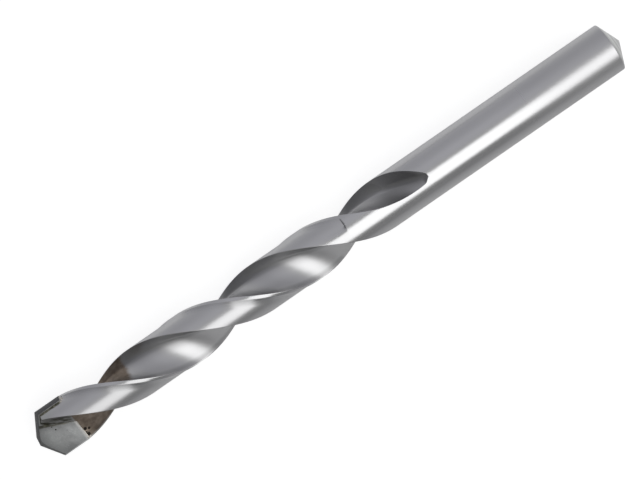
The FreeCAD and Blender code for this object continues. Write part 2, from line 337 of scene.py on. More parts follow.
def roundCorner(before, corner, after, radius):
    # three points: the start, the middle and the end of the rounding
    intoCorner, outOfCorner = corner - before, after - corner
    lengths = np.linalg.norm(intoCorner), np.linalg.norm(outOfCorner)
    intoCorner, outOfCorner = intoCorner / lengths[0], outOfCorner / lengths[1]
    turn = math.acos(max(-1.0, min(1.0, float(intoCorner @ outOfCorner))))
    reach = radius * math.tan(min(turn, steel["largestTurn"]) / 2)
    reach = min(reach, steel["edgeShare"] * lengths[0], steel["edgeShare"] * lengths[1])
    start, end = corner - intoCorner * reach, corner + outOfCorner * reach
    share = np.linspace(0, 1, 3)[:, None]
    return (1 - share) ** 2 * start + 2 * share * (1 - share) * corner + share**2 * end


def clearedShare(station, fractions):
    # how far the land is cleared at each point between margin and heel
    toHeel = np.clip((fractions - steel["sharpShare"]) / (1 - steel["sharpShare"]), 0, 1)
    longer = (steel["heelRise"] - steel["clearanceRise"]) * toHeel**2 * (3 - 2 * toHeel)
    share = np.clip((steel["clearanceEnd"] - station) / (steel["clearanceRise"] + longer), 0, 1)
    return share * share * (3 - 2 * share)


def closeEnd(flute, station, bar):
    # the last of the flute ends at a slant: cut back more on the side of the edge that leads
    ahead = (station - steel["fluteEnd"] + steel["endSlant"]) / steel["endSlant"]
    if ahead <= 0:
        return flute
    heelCut, leadCut = steel["heelCut"] * ahead**5, steel["leadCut"] * ahead**2
    angles = np.arctan2(flute[:, 1], flute[:, 0])
    radii = np.linalg.norm(flute, axis=1)
    width = angles[-1] - angles[0]
    share = (angles - angles[0]) / width
    depth = 1 - steel["endFlattening"] * ahead**4
    return onCircle((bar - (bar - radii) * depth)[:, None],
                    angles[0] + width * (heelCut + share * (1 - heelCut - leadCut)))


def sectionRow(station):
    # one half of a cross-section: flute, margin, step, land; the other half is the same turned round
    bar = barRadius(station)
    heelRadius = bar + (steel["clearedRadius"] - bar) * float(clearedShare(station, np.ones(1))[0])
    curve = fluteCurve(station)
    radii = np.linalg.norm(curve, axis=1)
    first = np.flatnonzero(radii < heelRadius)[0]
    last = np.flatnonzero(radii < bar)[-1]
    start = crossing(curve, first - 1, heelRadius)
    end = crossing(curve, last, bar)
    flute = resample(np.vstack([start, curve[first:last + 1], end]), steel["flutePoints"])
    flute = closeEnd(flute, station, bar)
    start, end = flute[0], flute[-1]
    leadAngle = math.atan2(end[1], end[0])
    marginEnd = leadAngle + math.radians(steel["marginAngle"])
    heelAngle = math.atan2(start[1], start[0]) + math.pi
    margin = onCircle(bar, np.linspace(leadAngle, marginEnd, steel["marginPoints"]))
    fractions = np.linspace(0, 1, steel["landPoints"]) ** steel["landCrowding"]
    landTurns = marginEnd + (heelAngle - marginEnd) * fractions
    drop = np.clip((landTurns - marginEnd) * bar / steel["stepWidth"], 0, 1)
    landRadii = bar + (steel["clearedRadius"] - bar) * clearedShare(station, fractions) * drop * (2 - drop)
    land = onCircle(landRadii[:, None], landTurns)
    size = steel["edgeRound"]
    leadCorner = roundCorner(flute[-2], end, margin[1], size)
    heelCorner = roundCorner(land[-2], -start, -flute[1], size)
    return np.vstack([-heelCorner[2:], flute[1:-1], leadCorner, margin[1:], land[1:-1], heelCorner[:2]])


def fluteStations():
    step, rise = steel["rowStep"], steel["clearanceRise"]
    runoutStart = steel["fluteEnd"] - steel["runoutLength"]
    slantStart = steel["fluteEnd"] - steel["endSlant"]
    return np.concatenate([
        np.arange(steel["firstRow"], steel["clearanceEnd"] - rise, step),
        steel["clearanceEnd"] - rise * np.linspace(1, 0, steel["clearanceRows"]),
        np.arange(steel["clearanceEnd"] + step, runoutStart, step),
        np.arange(runoutStart, slantStart, steel["runoutStep"]),
        slantStart + steel["endSlant"] * np.sin(np.linspace(0, math.pi / 2, steel["slantRows"])),
    ])


def shankRows(lastRow):
    # the round rest of the bar, down to the point of the tail
    angles = np.arctan2(lastRow[:, 1], lastRow[:, 0])
    rimStart = bit["length"] - steel["tailCone"]
    slope = math.atan2(steel["shankRadius"], steel["tailCone"])
    reach = steel["tailRim"] * math.tan(slope / 2)
    stations = np.arange(steel["fluteEnd"], rimStart - reach, steel["shankStep"])
    profile = [(station, barRadius(station)) for station in stations]
    rimCentre = (rimStart - reach, steel["shankRadius"] - steel["tailRim"])
    for turn in np.linspace(0, slope, steel["rimRows"]):
        profile.append((rimCentre[0] + steel["tailRim"] * math.sin(turn),
                        rimCentre[1] + steel["tailRim"] * math.cos(turn)))
    coneStart = profile[-1]
    for share in np.linspace(0, 1, steel["coneRows"])[1:-1]:
        profile.append((coneStart[0] + (bit["length"] - coneStart[0]) * share, coneStart[1] * (1 - share)))
    return [(station, onCircle(radius, angles)) for station, radius in profile]


def barRows():
    rows = []
    for station in fluteStations():
        half = sectionRow(station)
        turn = heelTurn(station)
        spin = np.array([[math.cos(turn), math.sin(turn)], [-math.sin(turn), math.cos(turn)]])
        rows.append((station, np.vstack([half, -half]) @ spin))
    return rows + shankRows(rows[-1][1])


def skin(name, rows, startCap, endPoint):
    # a tube through the rows, open or flat at its start and flat or pointed at its end
    count = len(rows[0][1])
    points = [(station, *point) for station, row in rows for point in row]
    faces = []
    for row in range(len(rows) - 1):
        here, there = row * count, (row + 1) * count
        for column in range(count):
            after = (column + 1) % count
            faces.append((here + column, here + after, there + after, there + column))
    lastRow = (len(rows) - 1) * count
    if startCap:
        faces.append(tuple(reversed(range(count))))
    if endPoint is None:
        faces.append(tuple(range(lastRow, lastRow + count)))
    else:
        points.append(endPoint)
        last = len(points) - 1
        faces += [(lastRow + column, lastRow + (column + 1) % count, last) for column in range(count)]
    mesh = bpy.data.meshes.new(name)
    mesh.from_pydata(points, [], faces)
    tidyMesh(mesh)
    return mesh


def tidyMesh(mesh):
    editing = bmesh.new()
    editing.from_mesh(mesh)
    bmesh.ops.remove_doubles(editing, verts=editing.verts, dist=meshing["joinDistance"])
    bmesh.ops.dissolve_degenerate(editing, edges=editing.edges, dist=meshing["joinDistance"])
    store(editing, mesh)


def dropFlatFaces(mesh):
    # triangles only, without the flat ones that a row of vertices in a line leaves
    editing = bmesh.new()
    editing.from_mesh(mesh)
    bmesh.ops.triangulate(editing, faces=editing.faces, ngon_method="BEAUTY")
    bmesh.ops.dissolve_degenerate(editing, edges=editing.edges, dist=meshing["flatDistance"])
    bmesh.ops.triangulate(editing, faces=editing.faces, ngon_method="BEAUTY")
    store(editing, mesh)


def makeBlock(name, corners, depth):
    # a closed prism: an outline in one plane, pushed along that plane's normal
    editing = bmesh.new()
    low = [editing.verts.new(corner) for corner in corners]
    high = [editing.verts.new(Vector(corner) + Vector(depth)) for corner in corners]
    editing.faces.new(low)
    editing.faces.new(reversed(high))
    for index in range(len(low)):
        after = (index + 1) % len(low)
        editing.faces.new((low[after], low[index], high[index], high[after]))
    bmesh.ops.recalc_face_normals(editing, faces=editing.faces)
    mesh = bpy.data.meshes.new(name)
    return store(editing, mesh)


def makePointCone(setback):
    # everything behind the ground point
    length = steel["coneLength"]
    base = length * math.tan(math.radians(steel["pointAngle"] / 2))
    editing = bmesh.new()
    bmesh.ops.create_cone(editing, cap_ends=True, cap_tris=False, segments=steel["coneSides"], radius1=0,
                          radius2=base, depth=length, matrix=Matrix.Translation((0, 0, length / 2)))
    bmesh.ops.rotate(editing, verts=editing.verts, matrix=Matrix.Rotation(math.pi / 2, 3, "Y"))
    bmesh.ops.translate(editing, verts=editing.verts, vec=(setback, 0, 0))
    bmesh.ops.recalc_face_normals(editing, faces=editing.faces)
    mesh = bpy.data.meshes.new("point_cone")
    return store(editing, mesh)


plate = {
    "turn": 22.5,
    "thickness": 2,
    "length": 7.4,
    "gap": 0.1,
    "gashWidth": 3.47,
    "gashSlope": 25.9,
    "edgeRound": 0.05,
    "cutFrom": -3,              # the cutters of slot and gash reach out of the bar on all sides
    "cutAcross": 6.3,
    "cutThrough": 9,
    "flatAngle": 0.6,           # faces that meet at less are one
    "edgeAngle": 14,            # and edges that are sharper are rounded
    "smoothAngle": 20,
}


def plateFrame(turned=0.0):
    # the plate's own directions: along the bit, across the plate, through the plate
    turn = math.radians(plate["turn"]) + turned
    return Matrix(((1, 0, 0), (0, math.cos(turn), -math.sin(turn)), (0, math.sin(turn), math.cos(turn))))


def cutterMeshes():
    yield makePointCone(steel["setback"]), "INTERSECT"
    clear, front = plate["cutAcross"], plate["cutFrom"]
    half = plate["thickness"] / 2 + plate["gap"]
    end = plate["length"] + plate["gap"]
    across = plateFrame()
    outline = [(front, -clear, -half), (end, -clear, -half), (end, clear, -half), (front, clear, -half)]
    through = across @ Vector((0, 0, 2 * half))
    yield makeBlock("slot", [across @ Vector(corner) for corner in outline], through), "DIFFERENCE"
    slope = math.tan(math.radians(plate["gashSlope"]))
    face = plate["thickness"] / 2
    outline = [(front, plate["gashWidth"] - front * slope, face), (front, -clear, face), (end, -clear, face),
               (end, plate["gashWidth"] - end * slope, face)]
    for turned in (0, math.pi):
        side = plateFrame(turned)
        through = side @ Vector((0, 0, plate["cutThrough"]))
        yield makeBlock("gash", [side @ Vector(corner) for corner in outline], through), "DIFFERENCE"


def combine(piece, mesh, operation):
    # cut, join or intersect a piece with another mesh
    other = newObject("other", mesh)
    modifier = piece.modifiers.new("combine", "BOOLEAN")
    modifier.object = other
    modifier.operation = operation
    modifier.solver = "MANIFOLD"
    bpy.context.view_layer.update()
    ready = bpy.data.meshes.new_from_object(piece.evaluated_get(bpy.context.evaluated_depsgraph_get()))
    piece.modifiers.clear()
    piece.data = ready
    bpy.data.objects.remove(other)


def finishEdges(mesh, sharpAngle):
    mesh.polygons.foreach_set("use_smooth", np.ones(len(mesh.polygons), bool))
    mesh.set_sharp_from_angle(angle=math.radians(sharpAngle))


def makeSteelBody(material):
    rows = barRows()
    split = next(index for index, (station, row) in enumerate(rows) if station >= steel["frontCut"])
    front = newObject("front", skin("front", rows[:split + 1], True, None))
    for cutter, operation in cutterMeshes():
        combine(front, cutter, operation)
    editing = bmesh.new()
    editing.from_mesh(front.data)
    joint, near = rows[split][0], meshing["planeDistance"]
    caps = [face for face in editing.faces if all(abs(vert.co.x - joint) < near for vert in face.verts)]
    bmesh.ops.delete(editing, geom=caps, context="FACES_ONLY")
    editing.from_mesh(skin("back", rows[split:], False, (bit["length"], 0, 0)))
    mesh = bpy.data.meshes.new("steel_body_ground")
    store(editing, mesh)
    bpy.data.objects.remove(front)
    tidyMesh(mesh)
    mesh.transform(layMatrix())
    finishEdges(mesh, steel["smoothAngle"])
    return addPiece("steel_body_ground", mesh, "steel_body", material)


# carbide tip and its braze

braze = {
    "setback": 0.47,
    "rootStart": 2.25,          # the bead along the root of the gash
    "rootEnd": 6.9,
    "rootRadius": 0.2,
    "rootLumps": 14,
    "seamStart": 3.0,           # and the one along the outer end of the seam
    "seamEnd": 7.5,
    "seamRadius": 0.2,
    "seamLumps": 9,
    "seamOut": 0.02,
    "seamUp": 0.04,
    "rearBeads": (-0.75, -0.3, 0.15, 0.6),      # behind the plate, at these distances through it
    "rearBefore": 0.3,
    "rearAfter": 0.55,
    "rearSink": 0.12,
    "rearRadius": 0.26,
    "rearLumps": 3,
    "beadStep": 0.12,
    "beadSteps": 6,             # at least
    "beadSides": 12,
    "endSwell": 0.35,           # share of a bead's radius at its ends
    "swellPower": 0.4,
    "lumpSizes": (0.2, 0.12),
    "lumpRatio": 2.7,
    "smoothAngle": 40,
}


def cadCopy(name):
    # the solid's own mesh in the bit's millimetres
    mesh = nodes[name].data.copy()
    mesh.transform(layMatrix().inverted() @ nodes[name].matrix_world)
    tidyMesh(mesh)
    return mesh


def makeCarbideTip(material):
    mesh = cadCopy("carbide_tip")
    editing = bmesh.new()
    editing.from_mesh(mesh)
    bmesh.ops.dissolve_limit(editing, angle_limit=math.radians(plate["flatAngle"]), verts=editing.verts,
                             edges=editing.edges)
    sharp = math.radians(plate["edgeAngle"])
    edges = [edge for edge in editing.edges if edge.is_manifold and edge.calc_face_angle() > sharp]
    bmesh.ops.bevel(editing, geom=edges, offset=plate["edgeRound"], segments=2, profile=0.5, affect="EDGES",
                    clamp_overlap=True)
    store(editing, mesh)
    dropFlatFaces(mesh)
    mesh.transform(layMatrix())
    finishEdges(mesh, plate["smoothAngle"])
    return addPiece("carbide_tip_ground", mesh, "carbide_tip", material)


def bead(start, end, radius, lumps):
    # a lumpy rod of braze along the bit between two points of the plate's frame, thinner at its ends
    rows = []
    thin, (large, small) = braze["endSwell"], braze["lumpSizes"]
    count = max(braze["beadSteps"], int((end[0] - start[0]) / braze["beadStep"]))
    turns = np.linspace(0, 2 * math.pi, braze["beadSides"], endpoint=False)
    for index in range(count + 1):
        share = index / count
        point = np.array(start) * (1 - share) + np.array(end) * share
        swell = thin + (1 - thin) * max(0.0, math.sin(math.pi * share)) ** braze["swellPower"]
        swell *= (1 + large * math.sin(lumps * share + 1)
                  + small * math.sin(braze["lumpRatio"] * lumps * share))
        rows.append((point[0], point[1:] + onCircle(radius * swell, turns)))
    return skin("bead", rows, True, None)


def beadRuns():
    # start, end, radius and lumps of each bead on one side of the plate
    slope = math.tan(math.radians(plate["gashSlope"]))
    face, outside = plate["thickness"] / 2, steel["clearedRadius"]
    rootStart, rootEnd = braze["rootStart"], braze["rootEnd"]
    yield ((rootStart, plate["gashWidth"] - rootStart * slope, face),
           (rootEnd, plate["gashWidth"] - rootEnd * slope, face), braze["rootRadius"], braze["rootLumps"])
    reach = math.sqrt(outside**2 - (face + plate["gap"]) ** 2) + braze["seamOut"]
    above = face + braze["seamUp"]
    yield ((braze["seamStart"], reach, above), (braze["seamEnd"], reach, above), braze["seamRadius"],
           braze["seamLumps"])
    for across in braze["rearBeads"]:
        reach = math.sqrt(outside**2 - across**2)
        yield ((plate["length"] - braze["rearBefore"], reach, across),
               (plate["length"] + braze["rearAfter"], reach - braze["rearSink"], across),
               braze["rearRadius"], braze["rearLumps"])


def makeBrazeSeam(material):
    piece = newObject("braze_seam_run", cadCopy("braze_seam"))
    for turned in (0, math.pi):
        side = plateFrame(turned).to_4x4()
        for start, end, radius, lumps in beadRuns():
            mesh = bead(start, end, radius, lumps)
            mesh.transform(side)
            combine(piece, mesh, "UNION")
    combine(piece, makePointCone(braze["setback"]), "INTERSECT")
    mesh = piece.data
    bpy.data.objects.remove(piece)
    dropFlatFaces(mesh)
    mesh.transform(layMatrix())
    finishEdges(mesh, braze["smoothAngle"])
    return addPiece("braze_seam_run", mesh, "braze_seam", material)


# materials: in their dictionaries a range is from, to, and the shares or levels at its two ends

def plateDistances(tree, place):
    # distances from the wall of the gash, positive in the steel, and from the middle plane of the plate
    turn = math.radians(plate["turn"] + bit["layTurn"])
    along = []
    for direction in ((0, math.cos(turn), math.sin(turn)), (0, -math.sin(turn), math.cos(turn))):
        node = addNode(tree, "VectorMath", operation="DOT_PRODUCT", Vector=place["point"])
        feed(tree, node.inputs[1], direction)
        along.append(node.outputs["Value"])
    across = multiply(tree, along[0], calculate(tree, "SIGN", along[1]))
    slope = multiply(tree, place["station"], math.tan(math.radians(plate["gashSlope"])))
    wall = subtract(tree, add(tree, across, slope), plate["gashWidth"])
    return wall, calculate(tree, "ABSOLUTE", along[1])


def angleFromHeel(tree, place):
    # degrees round the section from the heel edge of the nearer flute, on the twisted part
    heel = math.radians(steel["tipTurn"] + steel["landAngle"] + bit["layTurn"])
    turned = addNode(tree, "VectorRotate", rotation_type="X_AXIS", Vector=place["untwisted"],
                     Angle=-heel)
    parts = addNode(tree, "SeparateXYZ", Vector=turned.outputs[0])
    side = calculate(tree, "SIGN", parts.outputs["Z"])
    first, second = (multiply(tree, parts.outputs[axis], side) for axis in ("Y", "Z"))
    return calculate(tree, "DEGREES", calculate(tree, "ARCTAN2", second, first))


steelLook = {
    # flute and ground land
    "clearedRange": (steel["clearanceEnd"] - 0.2, steel["clearanceEnd"] + 0.1, 1.0, 0.0),
    "barRadii": (4.46, 4.24),   # all that is deeper is flute: by a plain and by a cleared land
    "depthRange": (0.0, 0.05),
    "leadRange": (180 - steel["landAngle"] - 1, 180 - steel["landAngle"] + 0.5, 1.0, 0.0),
    "angleUntil": (60, 61, 1.0, 0.0),
    "landRange": (4.36, 4.45, 1.0, 0.0),
    # grey steel, with a film by the plate; spots are station, radius, angle and size
    "greyNoise": ((0.12, 0.3, 0.3), 2),
    "greys": ((0.478, 0.478, 0.484), (0.522, 0.522, 0.524)),
    "filmSpots": ((3.4, 4.3, 42, 2.6), (6.6, 4.3, 24, 1.4)),
    "filmSoft": 0.85,
    "filmShare": 0.55,
    "filmColour": (0.41, 0.43, 0.4),
    # brown heat tint that the brazing left in the flutes, up to where they were ground again
    "brownEnd": 19.6,
    "brownWander": 0.8,
    "wanderNoise": ((0.8, 1.5, 1.5), 3),
    "brownRange": (-0.3, 0.7),
    "blotchNoise": ((0.9, 0.9, 0.9), 4, 0.55),
    "blotchRange": (0.3, 0.72),
    "browns": ((0.185, 0.148, 0.115), (0.3, 0.248, 0.202)),
    # dull streaks and residue beside the plate
    "besideRange": (7.0, 7.5, 1.0, 0.0),
    "streakNoise": ((0.45, 2.6, 1.0), 3, 0.6),
    "streakRange": (0.4, 0.6),
    "streaks": ((0.1, 0.098, 0.078), (0.36, 0.36, 0.35)),
    "cornerRange": (2.9, 4.2, 1.0, 0.0),
    "cornerWallRange": (0.4, 0.95, 1.0, 0.0),
    "cornerColour": (0.05, 0.048, 0.032),
    "pits": ((7.8, 2.68, -178, 0.4), (8.36, 2.99, -171, 0.3), (7.79, 3.79, -171, 0.42),
             (7.65, 3.3, -174, 0.2), (8.1, 3.4, -168, 0.16), (8.9, 2.2, -182, 0.13), (7.7, 4.3, 24, 0.26)),
    "pitColour": (0.03, 0.026, 0.02),
    # painted shade: darker parts of the flutes, in degrees from the heel and in stations
    "heelShade": (2, 20, 0.2, 0.0),
    "leadShade": (62, 98, 0.0, 0.2),
    "edgeShade": (102.5, 105.5, 0.0, 0.25),
    "wallShade": (140, 150, 0.0, 0.25),
    "runoutShade": (68, 74, 0.0, 0.2),
    "paintedShadeColour": (0.03, 0.03, 0.03),
    # cone of the tail
    "coneRange": (118.0, 118.15),
    "ringStart": 0.85,
    "ringSpacing": 1.4,
    "ringRange": (0.5, 1.0, 0.0, 0.55),
    # painted reflection: a dark patch on the cone, as station, radius, angle and size
    "paintedReflectionSpots": ((118.7, 4.0, 172, 3.6),),
    "paintedReflectionShare": 0.7,
    "coneColours": ((0.66, 0.67, 0.65), (0.24, 0.24, 0.24)),
    # grinding marks
    "aroundNoise": ((9.0, 0.25, 0.25), 4, 0.65),
    "alongNoise": ((0.06, 7.0, 7.0), 4, 0.65),
    "plainRough": (90, 114, 0.22, 0.35),
    "landRough": 0.29,
    "fluteRough": 0.34,
    "brownRough": 0.4,
    "unevenRough": (0.25, 0.75, -0.01, 0.01),
    "pitRough": 0.4,
    "lineHeights": (0.4, 0.3),
    "ringHeight": 4.0,
    "pitDepth": 6.0,
    "blotchHeight": 2.0,
    "bump": 0.000006,           # metres
}


def steelMasks(tree, place):
    # shares of flute, ground surface, brown tint and surface beside the plate
    look, station, radius = steelLook, place["station"], place["radius"]
    fromHeel = angleFromHeel(tree, place)
    cleared = remap(tree, station, *look["clearedRange"])
    depth = subtract(tree, mixValues(tree, cleared, *look["barRadii"]), radius)
    byDepth = remap(tree, depth, *look["depthRange"])
    byAngle = remap(tree, fromHeel, *look["leadRange"])
    byAngle = multiply(tree, byAngle, remap(tree, station, *look["angleUntil"]))
    inFlute = larger(tree, byAngle, byDepth)
    ground = multiply(tree, cleared, remap(tree, radius, *look["landRange"]))
    ground = larger(tree, ground, inFlute)
    wander = noise(tree, place["untwisted"], *look["wanderNoise"])
    reach = multiply(tree, wander, look["brownWander"])
    reach = add(tree, reach, look["brownEnd"] - look["brownWander"] / 2)
    tinted = remap(tree, subtract(tree, reach, station), *look["brownRange"])
    beside = multiply(tree, inFlute, remap(tree, station, *look["besideRange"]))
    tinted = larger(tree, subtract(tree, multiply(tree, tinted, inFlute), beside), 0.0)
    return {"fromHeel": fromHeel, "byDepth": byDepth, "byAngle": byAngle, "inFlute": inFlute,
            "ground": ground, "tinted": tinted, "beside": beside}


def steelPaintedShade(tree, place, masks):
    # painted shade: the flutes darken toward the edge that leads, and where the wall under the heel is bare
    look = steelLook
    heel, lead, edge, wall = (remap(tree, masks["fromHeel"], *look[key])
                              for key in ("heelShade", "leadShade", "edgeShade", "wallShade"))
    shade = add(tree, mixValues(tree, masks["tinted"], heel, lead), edge)
    shade = multiply(tree, shade, masks["byAngle"])
    wall = mixValues(tree, masks["tinted"], wall, 0.0)
    deep = larger(tree, wall, remap(tree, place["station"], *look["runoutShade"]))
    return add(tree, shade, multiply(tree, masks["byDepth"], deep))


def steelColour(tree, place, masks, blotches, pits):
    look, station, point, beside = steelLook, place["station"], place["point"], masks["beside"]
    grey = blendColours(tree, noise(tree, point, *look["greyNoise"]), *look["greys"])
    film = multiply(tree, spots(tree, point, look["filmSpots"], look["filmSoft"]), look["filmShare"])
    grey = blendColours(tree, film, grey, look["filmColour"])
    brown = blendColours(tree, remap(tree, blotches, *look["blotchRange"]), *look["browns"])
    colour = blendColours(tree, masks["tinted"], grey, brown)
    wall = plateDistances(tree, place)[0]
    flat = addNode(tree, "CombineXYZ", X=station, Y=wall)
    streaks = remap(tree, noise(tree, flat.outputs[0], *look["streakNoise"]), *look["streakRange"])
    colour = blendColours(tree, beside, colour, blendColours(tree, streaks, *look["streaks"]))
    corner = remap(tree, station, *look["cornerRange"])
    corner = multiply(tree, corner, remap(tree, wall, *look["cornerWallRange"]))
    colour = blendColours(tree, multiply(tree, corner, beside), colour, look["cornerColour"])
    colour = blendColours(tree, pits, colour, look["pitColour"])
    # painted shade of the flutes, blended over the steel's colour
    return blendColours(tree, steelPaintedShade(tree, place, masks), colour, look["paintedShadeColour"])


def groundSteel():
    material, tree, shader = newMaterial("ground_steel")
    shader.inputs["Metallic"].default_value = 1.0
    look, place = steelLook, bitCoordinates(tree)
    station, point = place["station"], place["point"]
    masks = steelMasks(tree, place)
    ground = masks["ground"]
    blotches = noise(tree, point, *look["blotchNoise"])
    pits = spots(tree, point, look["pits"])
    colour = steelColour(tree, place, masks, blotches, pits)

    # rings turned into the bright cone of the tail, and a painted reflection on it as a dark patch
    onCone = remap(tree, station, *look["coneRange"])
    turned = subtract(tree, place["radius"], look["ringStart"])
    rings = calculate(tree, "SINE", multiply(tree, turned, 2 * math.pi / look["ringSpacing"]))
    # painted reflection: a dark patch on the cone of the tail, joined with the real rings
    ringsAndPaintedReflection = multiply(tree, spots(tree, point, look["paintedReflectionSpots"], 1.0), look["paintedReflectionShare"])
    ringsAndPaintedReflection = larger(tree, remap(tree, rings, *look["ringRange"]), ringsAndPaintedReflection)
    cone = blendColours(tree, ringsAndPaintedReflection, *look["coneColours"])
    tree.links.new(blendColours(tree, onCone, colour, cone), shader.inputs["Base Color"])

    # fine marks of the grinding: round the shank, and along the flutes and lands
    around = noise(tree, point, *look["aroundNoise"])
    along = noise(tree, place["untwisted"], *look["alongNoise"])
    lines = mixValues(tree, ground, around, along)
    level = mixValues(tree, masks["inFlute"], look["landRough"], look["fluteRough"])
    level = mixValues(tree, ground, remap(tree, station, *look["plainRough"]), level)
    level = mixValues(tree, larger(tree, masks["tinted"], masks["beside"]), level, look["brownRough"])
    uneven = multiply(tree, ground, remap(tree, lines, *look["unevenRough"], smooth=False))
    rough = add(tree, add(tree, level, uneven), multiply(tree, pits, look["pitRough"]))
    tree.links.new(rough, shader.inputs["Roughness"])
    raised = multiply(tree, multiply(tree, rings, onCone), look["ringHeight"])
    height = multiply(tree, lines, mixValues(tree, ground, *look["lineHeights"]))
    height = subtract(tree, add(tree, height, raised), multiply(tree, pits, look["pitDepth"]))
    scale = multiply(tree, multiply(tree, blotches, masks["tinted"]), look["blotchHeight"])
    addBump(tree, shader, add(tree, height, scale), look["bump"])
    return material


carbideLook = {
    "faceRange": (0.955, 0.985),        # distance from the middle plane of the plate
    "mottleNoise": ((1.2, 1.2, 1.2), 5, 0.6),
    "mottleRange": (0.3, 0.7),
    "greys": ((0.335, 0.344, 0.344), (0.375, 0.383, 0.381)),
    "grainNoise": ((14, 14, 14), 3),
    "scratchAxis": (0, -0.3, 1),
    "scratchTurn": 0.85,        # radians
    "scratchNoise": ((0.7, 11, 11), 4, 0.7),
    "scratchRange": (0.54, 0.7, 0.0, 0.6),
    "scratchColour": (0.6, 0.61, 0.6),
    # darker toward the rear and the wall of the gash, pale by the filler behind the plate
    "rearRange": (1.9, 4.8, 0.0, 0.47),
    "rearColour": (0.05, 0.05, 0.05),
    "wallRange": (-1.8, -0.2, 0.0, 0.5),
    "wallColour": (0.08, 0.08, 0.08),
    "fillerRange": (6.8, 7.3, 0.0, 0.4),
    "fillerColour": (0.55, 0.53, 0.5),
    # residue along the wall, and the filler beyond it
    "borderMottle": 0.5,
    "borderRange": (-0.3, -0.02),
    "borderUntil": (0.05, 0.25, 1.0, 0.0),
    "borderFade": (5.6, 6.8, 0.85, 0.15),
    "dirtRange": (3.2, 4.4),
    "dirts": ((0.045, 0.043, 0.03), (0.1, 0.098, 0.078)),
    "beyondWall": (0.05, 0.25),
    "beyondFrom": (2.3, 2.8),
    "beyondColour": (0.17, 0.17, 0.165),
    # dark lips at the point, a bright outer edge and small marks
    "lipSlope": 0.577,          # station over radius on the ground point
    "lipRange": (0.02, 0.13, 0.55, 0.0),
    "lipColour": (0.09, 0.09, 0.09),
    "outerRange": (4.36, 4.46),
    "outerUntil": (-1.2, -1.0, 0.6, 0.0),
    "outerColour": (0.62, 0.63, 0.63),
    # painted shade: the ground edges and flanks are the same carbide, painted far darker than the face
    "shadedEdgeColour": (0.085, 0.087, 0.088),
    "marks": ((3.71, 1.1, 88, 0.17), (3.42, 1.6, 62, 0.13), (5.2, 1.3, 150, 0.09)),
    "markColour": (0.03, 0.03, 0.026),
    "metallic": (0.35, 0.9),    # of the ground edges and of the face
    "edgeRough": 0.6,
    "faceRough": (0.3, 0.7, 0.46, 0.36),
    "markRough": 0.4,
    "grainHeight": 0.5,
    "markDepth": 5.0,
    "bump": 0.00001,            # metres
}


def carbideFace(tree, place, wall, mottle, scratches):
    look, station = carbideLook, place["station"]
    face = blendColours(tree, remap(tree, mottle, *look["mottleRange"]), *look["greys"])
    for name, measure in (("scratch", scratches), ("rear", station), ("wall", wall), ("filler", station)):
        face = blendColours(tree, remap(tree, measure, *look[name + "Range"]), face, look[name + "Colour"])
    border = add(tree, wall, multiply(tree, mottle, look["borderMottle"]))
    border = remap(tree, border, *look["borderRange"])
    border = multiply(tree, border, remap(tree, wall, *look["borderUntil"]))
    border = multiply(tree, border, remap(tree, station, *look["borderFade"]))
    dirt = blendColours(tree, remap(tree, station, *look["dirtRange"]), *look["dirts"])
    face = blendColours(tree, border, face, dirt)
    beyond = remap(tree, wall, *look["beyondWall"])
    beyond = multiply(tree, beyond, remap(tree, station, *look["beyondFrom"]))
    face = blendColours(tree, beyond, face, look["beyondColour"])
    lip = subtract(tree, station, multiply(tree, place["radius"], look["lipSlope"]))
    face = blendColours(tree, remap(tree, lip, *look["lipRange"]), face, look["lipColour"])
    outer = remap(tree, place["radius"], *look["outerRange"])
    outer = multiply(tree, outer, remap(tree, wall, *look["outerUntil"]))
    return blendColours(tree, outer, face, look["outerColour"])


def carbideGrey():
    material, tree, shader = newMaterial("carbide_grey")
    look, place = carbideLook, bitCoordinates(tree)
    point = place["point"]
    wall, through = plateDistances(tree, place)
    onFace = remap(tree, through, *look["faceRange"])
    mottle = noise(tree, point, *look["mottleNoise"])
    grain = noise(tree, point, *look["grainNoise"])
    turned = addNode(tree, "VectorRotate", rotation_type="AXIS_ANGLE", Vector=point,
                     Axis=look["scratchAxis"], Angle=look["scratchTurn"])
    scratches = noise(tree, turned.outputs[0], *look["scratchNoise"])
    face = carbideFace(tree, place, wall, mottle, scratches)
    marks = spots(tree, point, look["marks"])
    # painted shade: off its face the plate takes a far darker colour; only its rougher, less metallic finish
    # is its own
    colour = blendColours(tree, onFace, look["shadedEdgeColour"], face)
    colour = blendColours(tree, marks, colour, look["markColour"])
    tree.links.new(colour, shader.inputs["Base Color"])
    tree.links.new(mixValues(tree, onFace, *look["metallic"]), shader.inputs["Metallic"])
    rough = remap(tree, mottle, *look["faceRough"], smooth=False)
    rough = add(tree, rough, multiply(tree, marks, look["markRough"]))
    tree.links.new(mixValues(tree, onFace, look["edgeRough"], rough), shader.inputs["Roughness"])
    height = add(tree, multiply(tree, grain, look["grainHeight"]), scratches)
    height = subtract(tree, height, multiply(tree, marks, look["markDepth"]))
    addBump(tree, shader, height, look["bump"])
    return material


brazeLook = {
    "metallic": 0.85,
    "blotchNoise": ((2.4, 2.4, 2.4), 5, 0.65),
    "rearRange": (plate["length"] - 0.35, plate["length"] - 0.05),
    "residueRange": (0.35, 0.65),
    "residues": ((0.05, 0.052, 0.036), (0.16, 0.155, 0.12)),
    "brightRange": (0.4, 0.7),
    "brights": ((0.42, 0.395, 0.36), (0.66, 0.63, 0.58)),
    "roughness": (0.5, 0.3),
    "bump": 0.00004,            # metres
}


